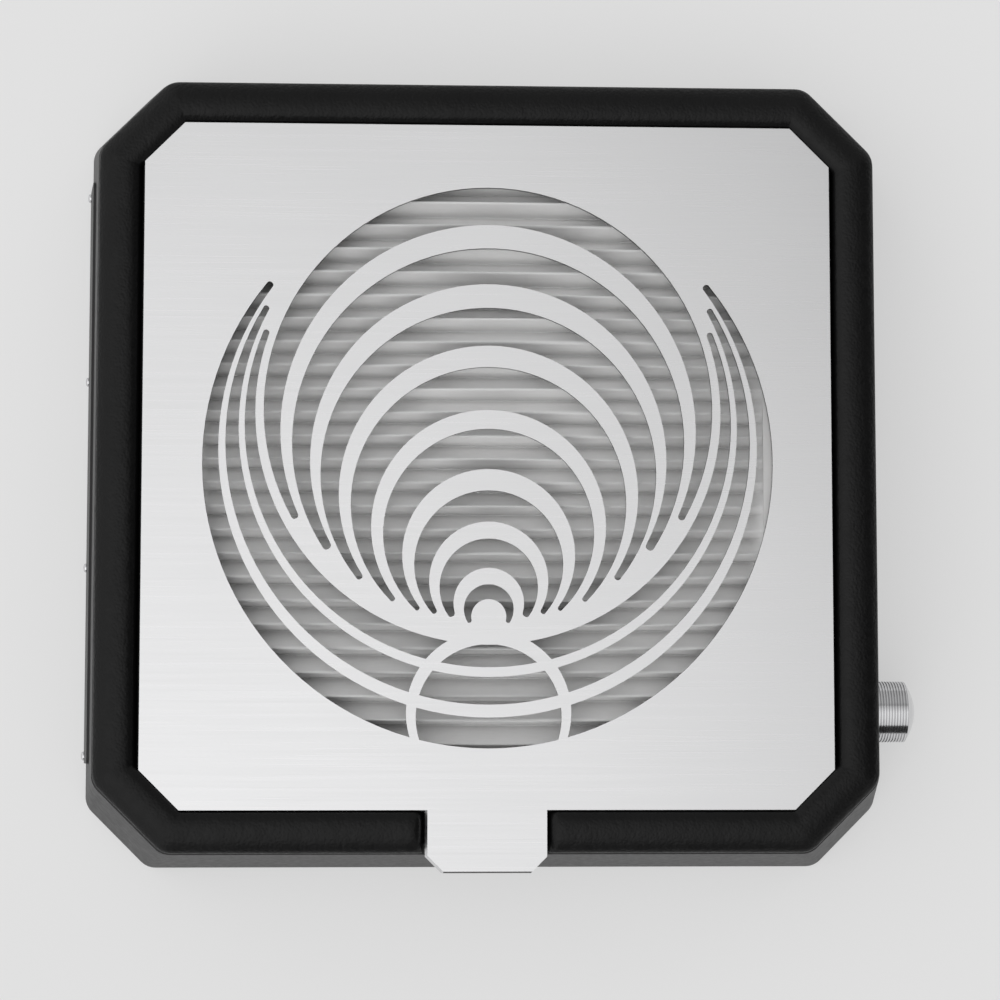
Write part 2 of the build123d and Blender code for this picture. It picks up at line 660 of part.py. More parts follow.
with BuildPart() as filter_gasket:
    with BuildSketch(Plane.XY.offset(DECK_TOP)):
        with Locations((FILTER_SHIFT, 0)):
            RectangleRounded(2 * FILTER_HALF, 2 * FILTER_HALF, FILTER_ROUND)
            Rectangle(2 * (FILTER_HALF - GASKET_WIDTH), 2 * (FILTER_HALF - GASKET_WIDTH),
                      mode=Mode.SUBTRACT)
    extrude(amount=FILTER_BOTTOM - DECK_TOP)
keep("filter_gasket", filter_gasket.part)

ridges = []
for fold in range(PLEAT_FOLDS):
    fold_level = PLEAT_LOW if fold % 2 else PLEAT_HIGH - PAPER
    ridges.append((PLEAT_BACK - fold * PLEAT_PITCH / 2, fold_level))
with BuildPart() as filter_media:
    with BuildSketch(Plane.YZ.offset(FILTER_SHIFT - MEDIA_HALF_X)):
        Polygon(*ridges, *[(y, z + PAPER) for y, z in reversed(ridges)], align=None)
    extrude(amount=2 * MEDIA_HALF_X)
keep("filter_media", filter_media.part)

# ---- Motor ---------------------------------------------------------------------------------------

with BuildPart() as motor_bracket:
    with Locations((0, 0, COVER_TOP)):
        Cylinder(BRACKET_R, BRACKET_THICK, align=UP)
        Cylinder(BEARING_TUBE_R, BEARING_LEVELS[1] + BEARING_WIDTH - COVER_TOP, align=UP)
    with Locations((0, 0, SHAFT_LOW)):
        Cylinder(BEARING_R, THROUGH, align=UP, mode=Mode.SUBTRACT)
    with Locations((0, 0, COVER_TOP)):
        with PolarLocations(BRACKET_SCREW_R, 4, start_angle=45):
            Cylinder(SCREW_R, THROUGH, mode=Mode.SUBTRACT)
keep("motor_bracket", motor_bracket.part)

with BuildPart() as motor_screws:
    with Locations((0, 0, COVER_TOP + BRACKET_THICK)):
        with PolarLocations(BRACKET_SCREW_R, 4, start_angle=45):
            Cylinder(HEAD_R, WASHER_HEAD, align=UP)
            Cylinder(SCREW_R, BRACKET_THICK, align=DOWN)
keep("motor_screws", motor_screws.part)

with BuildPart() as motor_bearings:
    with Locations(*[(0, 0, level) for level in BEARING_LEVELS]):
        Cylinder(BEARING_R, BEARING_WIDTH, align=UP)
        Cylinder(SHAFT_R + RUNNING_GAP, BEARING_WIDTH, align=UP, mode=Mode.SUBTRACT)
keep("motor_bearings", motor_bearings.part)

with BuildPart() as stator_core:
    with BuildSketch(Plane.XY.offset(STATOR_LOW)):
        Circle(STATOR_R)
        Circle(STATOR_R - TOOTH_TIP, mode=Mode.SUBTRACT)
        with PolarLocations(STATOR_R, TOOTH_COUNT, start_angle=180 / TOOTH_COUNT):
            Rectangle(3 * TOOTH_TIP, SLOT_OPENING, mode=Mode.SUBTRACT)
        Circle(YOKE_R)
        with PolarLocations((YOKE_R + STATOR_R) / 2 - TOOTH_ROOT, TOOTH_COUNT):
            Rectangle(STATOR_R - YOKE_R, TOOTH_WIDTH)
        Circle(BEARING_TUBE_R, mode=Mode.SUBTRACT)
    extrude(amount=STATOR_HIGH - STATOR_LOW)
keep("stator_core", stator_core.part)

with BuildPart() as stator_windings:
    with Locations((0, 0, (STATOR_LOW + STATOR_HIGH) / 2)):
        with PolarLocations((COIL_FROM + COIL_TO) / 2, TOOTH_COUNT):
            Box(COIL_TO - COIL_FROM, COIL_WIDTH, STATOR_HIGH - STATOR_LOW + 2 * COIL_OVERHANG)
    fillet(stator_windings.edges().filter_by(GeomType.LINE).filter_by(Axis.Z, reverse=True), 0.6)
    with Locations((0, 0, (STATOR_LOW + STATOR_HIGH) / 2)):
        with PolarLocations((COIL_FROM + COIL_TO) / 2, TOOTH_COUNT):
            Box(COIL_TO - COIL_FROM + 2, TOOTH_WIDTH, STATOR_HIGH - STATOR_LOW,
                mode=Mode.SUBTRACT)
keep("stator_windings", stator_windings.part)

with BuildPart() as motor_shaft:
    with Locations((0, 0, SHAFT_LOW)):
        Cylinder(SHAFT_R, SHAFT_HIGH - SHAFT_LOW, align=UP)
    chamfer(motor_shaft.edges().filter_by(GeomType.CIRCLE), 0.4)
keep("motor_shaft", motor_shaft.part)

with BuildPart() as rotor_cup:
    with Locations((0, 0, MAGNET_RING_LOW)):
        Cylinder(ROTOR_R, ROTOR_TOP - MAGNET_RING_LOW, align=UP)
        Cylinder(ROTOR_R - ROTOR_SKIN, ROTOR_TOP - ROTOR_SKIN - MAGNET_RING_LOW, align=UP,
                 mode=Mode.SUBTRACT)
    fillet(rotor_cup.edges().group_by(Axis.Z)[-1], 1.0)
    with Locations((0, 0, ROTOR_TOP)):
        Cylinder(SHAFT_R, 2 * ROTOR_SKIN, mode=Mode.SUBTRACT)
        with PolarLocations(ROTOR_VENT_PLACE_R, 6):
            Cylinder(ROTOR_VENT_R, 2 * ROTOR_SKIN, mode=Mode.SUBTRACT)
keep("rotor_cup", rotor_cup.part)

with BuildPart() as rotor_magnet:
    with Locations((0, 0, MAGNET_RING_LOW)):
        Cylinder(ROTOR_R - ROTOR_SKIN, STATOR_HIGH - MAGNET_RING_LOW, align=UP)
        Cylinder(MAGNET_RING_R, STATOR_HIGH - MAGNET_RING_LOW, align=UP, mode=Mode.SUBTRACT)
keep("rotor_magnet", rotor_magnet.part)

blade_root = Vector(*polar_point(BLADE_ROOT_R, 0))
blade_tip = Vector(*polar_point(IMPELLER_R - 0.5, -BLADE_SWEEP))
blade_run = blade_tip - blade_root
blade_middle = (blade_root + blade_tip) / 2 + Vector(-blade_run.Y, blade_run.X).normalized() * BLADE_BOW

with BuildSketch() as blade:
    with BuildLine():
        ThreePointArc(blade_root, blade_middle, blade_tip)
    trace(line_width=BLADE_THICK)

with BuildPart() as impeller:
    with Locations((0, 0, BACKPLATE_BOTTOM)):
        Cylinder(IMPELLER_R, IMPELLER_SKIN, align=UP)
        Cylinder(ROTOR_R + HUB_SKIN, 10, align=UP)
    with Locations((0, 0, SHROUD_BOTTOM)):
        Cylinder(IMPELLER_R, IMPELLER_SKIN, align=UP)
        Cylinder(EYE_R, IMPELLER_SKIN, align=UP, mode=Mode.SUBTRACT)
    with BuildSketch(Plane.XY.offset(BACKPLATE_BOTTOM + IMPELLER_SKIN)):
        with PolarLocations(0, BLADE_COUNT):
            add(blade.sketch)
    extrude(amount=SHROUD_BOTTOM - BACKPLATE_BOTTOM - IMPELLER_SKIN)
    Cylinder(ROTOR_R, 2 * WIDEST_RIM, mode=Mode.SUBTRACT)
keep("impeller", impeller.part)

# ---- Speed control: potentiometer and turned knob --------------------------------------------------

pot_face = Plane(origin=(POT_FACE, KNOB_Y, KNOB_Z), x_dir=(0, 1, 0), z_dir=(1, 0, 0))

with BuildPart() as speed_potentiometer:
    with BuildSketch(pot_face):
        RectangleRounded(2 * POT_HALF, 2 * POT_HALF, 2)
    extrude(amount=-POT_DEPTH)
    with BuildSketch(pot_face):
        Circle(BUSHING_R)
    extrude(amount=BUSHING_END - POT_FACE)
    with BuildSketch(pot_face.offset(POT_SHAFT_START - POT_FACE)):
        Circle(POT_SHAFT_R + RUNNING_GAP)
    extrude(amount=THROUGH, mode=Mode.SUBTRACT)
keep("speed_potentiometer", speed_potentiometer.part)

with BuildPart() as potentiometer_nut:
    with BuildSketch(pot_face.offset(KNOB_RECESS_FLOOR - POT_FACE)):
        RegularPolygon(NUT_FLATS / 2, 6, major_radius=False)
        Circle(BUSHING_R, mode=Mode.SUBTRACT)
    extrude(amount=NUT_THICK)
keep("potentiometer_nut", potentiometer_nut.part)

with BuildPart() as potentiometer_shaft:
    with BuildSketch(pot_face.offset(POT_SHAFT_START - POT_FACE + RUNNING_GAP)):
        Circle(POT_SHAFT_R)
    extrude(amount=KNOB_BORE_END - POT_SHAFT_START - RUNNING_GAP)
keep("potentiometer_shaft", potentiometer_shaft.part)

# The knob is turned: a grooved barrel and a domed end.
dome_rise = KNOB_END - KNOB_SHOULDER
with BuildPart() as speed_knob:
    with BuildSketch(Plane.XY) as knob_profile:
        with BuildLine():
            Line((KNOB_BACK, 0), (KNOB_END, 0))
            ThreePointArc(
                (KNOB_END, 0),
                (KNOB_END - 0.27 * dome_rise, 0.52 * KNOB_R),
                (KNOB_SHOULDER, KNOB_R),
            )
            Line((KNOB_SHOULDER, KNOB_R), (KNOB_BACK, KNOB_R))
            Line((KNOB_BACK, KNOB_R), (KNOB_BACK, 0))
        make_face()
        groove_x = KNOB_BACK + GROOVE_PITCH
        while groove_x < KNOB_SHOULDER - GROOVE_PITCH / 2:
            with Locations((groove_x, KNOB_R)):
                Rectangle(0.5 * GROOVE_PITCH, 2 * GROOVE_DEPTH, mode=Mode.SUBTRACT)
            groove_x += GROOVE_PITCH
    revolve(axis=Axis.X)
    with Locations(Plane(origin=(KNOB_BACK, 0, 0), z_dir=(1, 0, 0))):
        Cylinder(NUT_WELL_R, BUSHING_END - KNOB_BACK + 0.4, align=UP, mode=Mode.SUBTRACT)
        Cylinder(POT_SHAFT_R, KNOB_BORE_END - KNOB_BACK, align=UP, mode=Mode.SUBTRACT)
    with Locations(Plane(origin=(SET_SCREW_X, 0, 0), z_dir=(0, 0, -1))):
        Cylinder(SET_SCREW_R, THROUGH, align=UP, mode=Mode.SUBTRACT)
keep("speed_knob", speed_knob.part.moved(Location((0, KNOB_Y, KNOB_Z))))

with BuildPart(Plane(origin=(SET_SCREW_X, KNOB_Y, KNOB_Z), z_dir=(0, 0, -1))) as knob_set_screw:
    with Locations((0, 0, POT_SHAFT_R)):
        Cylinder(SET_SCREW_R, SET_SCREW_OUT - POT_SHAFT_R, align=UP)
    with BuildSketch(knob_set_screw.faces().sort_by(Axis.Z)[0]):
        RegularPolygon(SET_SCREW_KEY_R, 6)
    extrude(amount=-2 * SET_SCREW_KEY_R, mode=Mode.SUBTRACT)
keep("knob_set_screw", knob_set_screw.part)

# ---- Control board -----------------------------------------------------------------------------------

board_top = BOARD_LEVEL + BOARD_THICK
board_corner = (BOARD_WIDTH / 2 - STANDOFF_INSET, BOARD_DEPTH / 2 - STANDOFF_INSET)
standoff_places = [(BOARD_X + x, BOARD_Y + y) for x, y in corners(board_corner)]

with BuildPart() as control_board:
    with Locations((BOARD_X, BOARD_Y, BOARD_LEVEL)):
        Box(BOARD_WIDTH, BOARD_DEPTH, BOARD_THICK, align=UP)
    with Locations(*at_height(standoff_places, BOARD_LEVEL)):
        Cylinder(STUD_R, THROUGH, mode=Mode.SUBTRACT)
keep("control_board", control_board.part)

with BuildPart() as board_standoffs:
    with Locations(*at_height(standoff_places, COVER_TOP)):
        Cylinder(STANDOFF_R, BOARD_LEVEL - COVER_TOP, align=UP)
        Cylinder(STUD_R, board_top + 1 - COVER_TOP, align=UP)
    with Locations(*at_height(standoff_places, board_top)):
        Cylinder(STUD_NUT_R, 1, align=UP)
keep("board_standoffs", board_standoffs.part)

with BuildPart() as triac_heatsink:
    with Locations((BOARD_X - 6, BOARD_Y + 12, board_top)):
        Box(*HEATSINK, align=UP)
    with Locations((BOARD_X - 6, BOARD_Y + 14, board_top + 2)):
        with GridLocations(FIN_PITCH, 1, 5, 1):
            Box(FIN_SLOT, 8, 20, align=UP, mode=Mode.SUBTRACT)
keep("triac_heatsink", triac_heatsink.part)

with BuildPart() as triac:
    with Locations((BOARD_X - 6, BOARD_Y + 7 - TRIAC_BODY[1] / 2, board_top + TRIAC_PIN[2])):
        Box(*TRIAC_BODY, align=UP)
    with Locations((BOARD_X - 6, BOARD_Y + 7 - TRIAC_TAB[1] / 2, board_top + TRIAC_PIN[2] + TRIAC_BODY[2])):
        Box(*TRIAC_TAB, align=UP)
    with Locations((BOARD_X - 6, BOARD_Y + 4.5, board_top)):
        with GridLocations(2.5, 1, 3, 1):
            Box(*TRIAC_PIN, align=UP)
keep("triac", triac.part)

with BuildPart() as suppression_capacitor:
    with Locations((BOARD_X + 9, BOARD_Y + 6, board_top)):
        Box(*CAPACITOR, align=UP)
    fillet(suppression_capacitor.edges().filter_by(Axis.Z), 1.0)
keep("suppression_capacitor", suppression_capacitor.part)

with BuildPart() as terminal_block:
    with Locations((BOARD_X, BOARD_Y - 10, board_top)):
        Box(*TERMINALS, align=UP)
    with Locations((BOARD_X, BOARD_Y - 10, board_top + TERMINALS[2])):
        with GridLocations(TERMINAL_PITCH, 1, 5, 1):
            Cylinder(TERMINAL_WELL_R, 3, mode=Mode.SUBTRACT)
keep("terminal_block", terminal_block.part)

# ---- Service panel, exhaust plate and their screws ----------------------------------------------------

with BuildPart() as service_panel:
    with BuildSketch(left_wall):
        RectangleRounded(2 * SERVICE_HALF, PANEL_HEIGHT, PANEL_ROUND)
        with Locations(*PANELS[0][1]):
            Circle(PANEL_SCREW_R, mode=Mode.SUBTRACT)
    extrude(amount=PANEL_THICK)
keep("service_panel", service_panel.part)

slot_count = int(2 * (EXHAUST_WINDOW_HALF - WINDOW_HEIGHT / 2) / SLOT_PITCH)
with BuildPart() as exhaust_plate:
    with BuildSketch(back_wall):
        RectangleRounded(2 * EXHAUST_HALF, PANEL_HEIGHT, PANEL_ROUND)
        with Locations((0, WINDOW_RISE)):
            with GridLocations(SLOT_PITCH, 1, slot_count, 1):
                SlotOverall(SLOT_HEIGHT, SLOT_WIDTH, rotation=90, mode=Mode.SUBTRACT)
        with Locations(*PANELS[1][1]):
            Circle(PANEL_SCREW_R, mode=Mode.SUBTRACT)
    extrude(amount=PANEL_THICK)
keep("exhaust_plate", exhaust_plate.part)

# One screw, drawn with its head's underside at the origin and its axis along Z
with BuildPart() as panel_screw:
    Cylinder(PANEL_HEAD_R, PANEL_HEAD_HEIGHT, align=UP)
    fillet(panel_screw.edges().group_by(Axis.Z)[-1], 0.8 * PANEL_HEAD_HEIGHT)
    Cylinder(PANEL_SCREW_R, PANEL_SCREW_LENGTH, align=DOWN)
    with BuildSketch(Plane.XY.offset(PANEL_HEAD_HEIGHT)):
        RegularPolygon(SCREW_KEY_R, 6)
    extrude(amount=-SCREW_KEY_DEPTH, mode=Mode.SUBTRACT)

with BuildPart() as panel_screws:
    for wall, screw_places, window_half in PANELS:
        with Locations(wall.offset(PANEL_THICK)):
            with Locations(*screw_places):
                add(panel_screw.part)
keep("panel_screws", panel_screws.part)

# ---- Cord gland ---------------------------------------------------------------------------------

with BuildPart(gland_axis) as cord_gland:
    Cylinder(GLAND_FLANGE_R, GLAND_FLANGE_THICK, align=UP)
    with Locations((0, 0, GLAND_FLANGE_THICK)):
        Cone(GLAND_NECK_R, GLAND_TIP_R, GLAND_END - GLAND_SEAT - GLAND_FLANGE_THICK, align=UP)
    Cylinder(GLAND_THREAD_R, GLAND_SEAT - GLAND_INNER_FACE + GLAND_NUT_THICK + 1, align=DOWN)
    Cylinder(GLAND_BORE_R, 2 * THROUGH, mode=Mode.SUBTRACT)
keep("cord_gland", cord_gland.part)

with BuildPart() as gland_nut:
    with BuildSketch(gland_axis.offset(GLAND_INNER_FACE - GLAND_SEAT)):
        RegularPolygon(GLAND_NUT_R, 6)
        Circle(GLAND_THREAD_R, mode=Mode.SUBTRACT)
    extrude(amount=-GLAND_NUT_THICK)
keep("gland_nut", gland_nut.part)

# ---- Motor lead: lies on the bottom cover, from the terminal block to the motor bracket --------

lead_level = COVER_TOP + LEAD_R
lead_points = [
    (BOARD_X - 14, BOARD_Y - 10, lead_level),
    (BOARD_X - 34, BOARD_Y - 6, lead_level),
    (BOARD_X - 52, BOARD_Y + 22, lead_level),
    (26.5, -26.5, lead_level),
]
with BuildPart() as motor_lead:
    with BuildLine() as lead_path:
        FilletPolyline(*lead_points, radius=LEAD_BEND)
    with BuildSketch(lead_path.line ^ 0):
        Circle(LEAD_R)
    sweep()
keep("motor_lead", motor_lead.part)

# ---- Place the origin at the middle of the footprint, and write the pieces ---------------------

boxes = [piece.bounding_box() for piece in PIECES.values()]
left, right = min(box.min.X for box in boxes), max(box.max.X for box in boxes)
front, back = min(box.min.Y for box in boxes), max(box.max.Y for box in boxes)
axis_x = -(left + right) / 2
axis_y = -(front + back) / 2
print("housing axis at", axis_x, axis_y)
print("footprint", right - left, back - front)

for name, piece in PIECES.items():
    placed = piece.moved(Location((axis_x, axis_y, 0)))
    placed.label = name
    export_step(placed, f"parts/{name}.step")
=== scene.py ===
"""Looks for the desktop downdraft extractor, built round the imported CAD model.

All sizes are in metres, in the CAD model's own frame.
"""
import json
from math import cos, pi, radians, sin, sqrt

import bmesh
import bpy
from mathutils import Euler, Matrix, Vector, noise


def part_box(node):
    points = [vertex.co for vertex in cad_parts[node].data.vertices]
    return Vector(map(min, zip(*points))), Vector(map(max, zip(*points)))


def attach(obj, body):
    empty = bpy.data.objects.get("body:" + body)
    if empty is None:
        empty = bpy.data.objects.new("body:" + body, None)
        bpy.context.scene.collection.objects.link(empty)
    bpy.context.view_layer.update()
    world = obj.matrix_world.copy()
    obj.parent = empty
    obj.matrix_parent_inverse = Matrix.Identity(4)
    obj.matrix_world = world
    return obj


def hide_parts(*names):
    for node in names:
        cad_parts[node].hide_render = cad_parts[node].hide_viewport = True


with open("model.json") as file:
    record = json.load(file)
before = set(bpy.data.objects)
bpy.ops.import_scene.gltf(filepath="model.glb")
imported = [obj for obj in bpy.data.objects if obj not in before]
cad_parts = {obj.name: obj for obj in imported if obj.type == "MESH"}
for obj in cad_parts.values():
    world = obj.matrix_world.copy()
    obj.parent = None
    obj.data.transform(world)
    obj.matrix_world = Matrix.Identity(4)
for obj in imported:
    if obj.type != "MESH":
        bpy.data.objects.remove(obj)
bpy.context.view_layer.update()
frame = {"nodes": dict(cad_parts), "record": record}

MM = 0.001
scene = bpy.context.scene
nodes = frame["nodes"]

# ---- Places read from the frame ---------------------------------------------------------

shaft_low, shaft_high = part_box("motor_shaft")
AXIS = Vector(((shaft_low.x + shaft_high.x) / 2, (shaft_low.y + shaft_high.y) / 2, 0))
pad_low, pad_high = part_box("rim_pad")
media_low, media_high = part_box("filter_media")
knob_low, knob_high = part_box("speed_knob")

# ---- Camera -------------------------------------------------------------------------------

CAMERA_PLACE = Vector((-46.3, -104.7, 1106.0)) * MM
CAMERA_TURN = (4.974, -2.777, 0.003)
CAMERA_LENS = 98.52

camera = bpy.data.objects.new("camera", bpy.data.cameras.new("camera"))
scene.collection.objects.link(camera)
camera.location = AXIS + CAMERA_PLACE
camera.rotation_euler = Euler([radians(a) for a in CAMERA_TURN])
camera.data.lens = CAMERA_LENS
camera.data.sensor_width = 36
camera.data.clip_end = 20
scene.camera = camera
scene.view_settings.view_transform = "Standard"

# ---- Node helpers ---------------------------------------------------------------------------


class Shader:
    """A new material with its Principled shader, and short ways to add nodes to it."""

    def __init__(self, name, colour, roughness, metallic=0.0, specular=0.5):
        self.material = bpy.data.materials.new(name)
        self.material.use_nodes = True
        self.tree = self.material.node_tree
        self.surface = self.tree.nodes["Principled BSDF"]
        self.surface.inputs["Base Color"].default_value = (*colour, 1)
        self.surface.inputs["Roughness"].default_value = roughness
        self.surface.inputs["Metallic"].default_value = metallic
        self.surface.inputs["Specular IOR Level"].default_value = specular
        self.material.diffuse_color = (*colour, 1)

    def add(self, kind, inputs=None, **settings):
        node = self.tree.nodes.new(kind)
        for key, value in settings.items():
            setattr(node, key, value)
        for key, value in (inputs or {}).items():
            if isinstance(value, bpy.types.NodeSocket):
                self.tree.links.new(value, node.inputs[key])
            else:
                node.inputs[key].default_value = value
        return node

    def place(self, scale=(1, 1, 1), turn=(0, 0, 0)):
        """Object coordinates, stretched and turned."""
        coordinates = self.add("ShaderNodeTexCoord")
        return self.add("ShaderNodeMapping", {"Vector": coordinates.outputs["Object"],
                                              "Scale": scale, "Rotation": turn}).outputs[0]

    def noise(self, vector, scale, detail=2.0, rough=0.5):
        return self.add("ShaderNodeTexNoise", {"Vector": vector, "Scale": scale, "Detail": detail,
                                               "Roughness": rough}).outputs["Fac"]

    def remap(self, value, low, high, to_low, to_high):
        return self.add("ShaderNodeMapRange", {"Value": value, "From Min": low, "From Max": high,
                                               "To Min": to_low, "To Max": to_high}).outputs[0]

    def math(self, operation, first, second):
        return self.add("ShaderNodeMath", {0: first, 1: second}, operation=operation).outputs[0]

    def mix(self, share, first, second):
        """Colour between two colours."""
        node = self.add("ShaderNodeMix", data_type="RGBA")
        for index, value in ((0, share), (6, first), (7, second)):
            if isinstance(value, bpy.types.NodeSocket):
                self.tree.links.new(value, node.inputs[index])
            else:
                node.inputs[index].default_value = value if index == 0 else (*value, 1)
        return node.outputs[2]

    def link(self, output, socket):
        self.tree.links.new(output, self.surface.inputs[socket])

    def bump(self, height, strength, distance):
        node = self.add("ShaderNodeBump", {"Height": height, "Strength": strength, "Distance": distance})
        self.link(node.outputs[0], "Normal")


# ---- Materials --------------------------------------------------------------------------------

# Dark grey of the painted shade on the grille's cut walls.
CUT_WALL_PAINTED_SHADE = (0.09, 0.09, 0.095)
GROOVE_PITCH = 1.1 * MM
# Colour of the painted shade in the knob's turned grooves.
GROOVE_PAINTED_SHADE = (0.40, 0.40, 0.41)
DOME_LENGTH = 4.2 * MM


def leatherette(name, dark, light, specular, roughness, relief):
    """Fine pebbled grain with faint stretched wrinkles."""
    shader = Shader(name, dark, roughness, specular=specular)
    spot = shader.place()
    pebbles = shader.add("ShaderNodeTexVoronoi", {"Vector": spot, "Scale": 1000.0},
                         feature="SMOOTH_F1").outputs["Distance"]
    wrinkles = shader.noise(shader.place((420, 260, 420), (0, 0, 0.6)), 1.0, 3, 0.55)
    broad = shader.noise(spot, 28, 2)
    height = shader.math("ADD", shader.math("MULTIPLY", pebbles, -0.55), wrinkles)
    shader.bump(height, 0.5, relief * MM)
    shader.link(shader.mix(shader.remap(broad, 0.3, 0.7, 0, 1), dark, light), "Base Color")
    shader.link(shader.remap(wrinkles, 0.3, 0.7, roughness - 0.05, roughness + 0.06), "Roughness")
    return shader.material


def brushed(name, dark, light, roughness, lines=(18, 3400, 3400), strength=0.25):
    """Sheet metal with fine straight grain, long along one axis, and painted shade on every face that does
    not face up, such as the cut walls.
    """
    shader = Shader(name, light, roughness, metallic=1.0)
    fine = shader.noise(shader.place(lines), 1.0, 2, 0.6)
    coarse = shader.noise(shader.place([v * 0.22 for v in lines]), 1.0, 2, 0.5)
    broad = shader.noise(shader.place(), 11, 1)
    grain = shader.math("ADD", shader.math("MULTIPLY", fine, 0.6), shader.math("MULTIPLY", coarse, 0.4))
    tone = shader.math("ADD", shader.math("MULTIPLY", grain, 0.75), shader.math("MULTIPLY", broad, 0.25))
    face = shader.mix(shader.remap(tone, 0.32, 0.68, 0, 1), dark, light)
    # Painted shade: faces that do not face up, such as the cut walls of the openings, are mixed towards
    # dark grey.
    normal = shader.add("ShaderNodeTexCoord").outputs["Normal"]
    flat = shader.add("ShaderNodeSeparateXYZ", {0: normal}).outputs[2]
    shader.link(shader.mix(shader.remap(flat, 0.05, 0.3, 0, 1), CUT_WALL_PAINTED_SHADE, face), "Base Color")
    shader.link(shader.remap(grain, 0.3, 0.7, roughness - 0.06, roughness + 0.08), "Roughness")
    shader.bump(grain, strength, 0.02 * MM)
    return shader.material


def turned(name, colour, roughness):
    """Lathe-turned metal: very fine rings across the X axis, and painted shade in the grooves."""
    shader = Shader(name, colour, roughness, metallic=1.0)
    rings = shader.noise(shader.place((5200, 30, 30)), 1.0, 2, 0.6)
    shade = tuple(c * 0.82 for c in colour)
    face = shader.mix(shader.remap(rings, 0.3, 0.7, 0, 1), shade, colour)
    # Painted shade: the base colour turns darker in each turned groove along the barrel, not on the dome.
    along = shader.add("ShaderNodeSeparateXYZ", {0: shader.place()}).outputs[0]
    turns = shader.math("DIVIDE", shader.math("SUBTRACT", along, knob_low.x), GROOVE_PITCH)
    off_groove = shader.math("PINGPONG", turns, 0.5)
    barrel = shader.remap(along, knob_high.x - DOME_LENGTH, knob_high.x - DOME_LENGTH + 0.1 * MM, 1, 0)
    groove_painted_shade = shader.math("MULTIPLY", shader.remap(off_groove, 0.18, 0.3, 1, 0), barrel)
    shader.link(shader.mix(groove_painted_shade, face, GROOVE_PAINTED_SHADE), "Base Color")
    shader.link(shader.remap(rings, 0.3, 0.7, roughness - 0.05, roughness + 0.08), "Roughness")
    shader.bump(rings, 0.2, 0.02 * MM)
    return shader.material


def cast(name, colour, roughness, metallic=0.0, grain=900, spread=0.12, strength=0.15, specular=0.5):
    """Moulded, painted, plated or paper surface: a fine texture and slight colour change."""
    shader = Shader(name, colour, roughness, metallic, specular)
    spot = shader.place()
    fine = shader.noise(spot, grain, 3, 0.6)
    broad = shader.noise(spot, 35, 2)
    dark = tuple(c * (1 - spread) for c in colour)
    shader.link(shader.mix(shader.remap(broad, 0.3, 0.7, 0, 1), dark, colour), "Base Color")
    shader.link(shader.remap(fine, 0.3, 0.7, max(roughness - 0.06, 0.05), roughness + 0.08), "Roughness")
    shader.bump(fine, strength, 0.05 * MM)
    return shader.material


def filter_paper(name):
    """Off-white fibrous media, with flecks and slightly uneven tone along the pleats."""
    shader = Shader(name, (0.86, 0.858, 0.855), 0.9, specular=0.2)
    spot = shader.place()
    fibres = shader.noise(shader.place((260, 900, 900)), 1.0, 4, 0.65)
    broad = shader.noise(shader.place((14, 60, 20)), 1.0, 2, 0.5)
    tone = shader.math("ADD", shader.math("MULTIPLY", fibres, 0.35), shader.math("MULTIPLY", broad, 0.65))
    shader.link(shader.mix(shader.remap(tone, 0.3, 0.7, 0, 1), (0.83, 0.828, 0.825), (0.92, 0.918, 0.915)),
                "Base Color")
    shader.bump(shader.noise(spot, 1500, 3, 0.7), 0.25, 0.05 * MM)
    return shader.material


def wound_copper(name):
    """Enamelled wire in layers: fine level bands."""
    shader = Shader(name, (0.62, 0.25, 0.10), 0.35, metallic=0.9)
    bands = shader.add("ShaderNodeTexWave", {"Vector": shader.place(), "Scale": 900.0, "Distortion": 0.6},
                       bands_direction="Z").outputs["Fac"]
    shader.link(shader.mix(bands, (0.36, 0.12, 0.05), (0.72, 0.31, 0.13)), "Base Color")
    shader.bump(bands, 0.6, 0.12 * MM)
    return shader.material


def circuit_laminate(name):
    """Green solder mask with paler tracks."""
    shader = Shader(name, (0.02, 0.16, 0.07), 0.35)
    cells = shader.add("ShaderNodeTexVoronoi", {"Vector": shader.place(), "Scale": 260.0},
                       distance="MANHATTAN", feature="DISTANCE_TO_EDGE").outputs["Distance"]
    track = shader.remap(cells, 0.03, 0.05, 1, 0)
    shader.link(shader.mix(track, (0.015, 0.13, 0.06), (0.05, 0.26, 0.13)), "Base Color")
    shader.bump(track, 0.3, 0.05 * MM)
    return shader.material


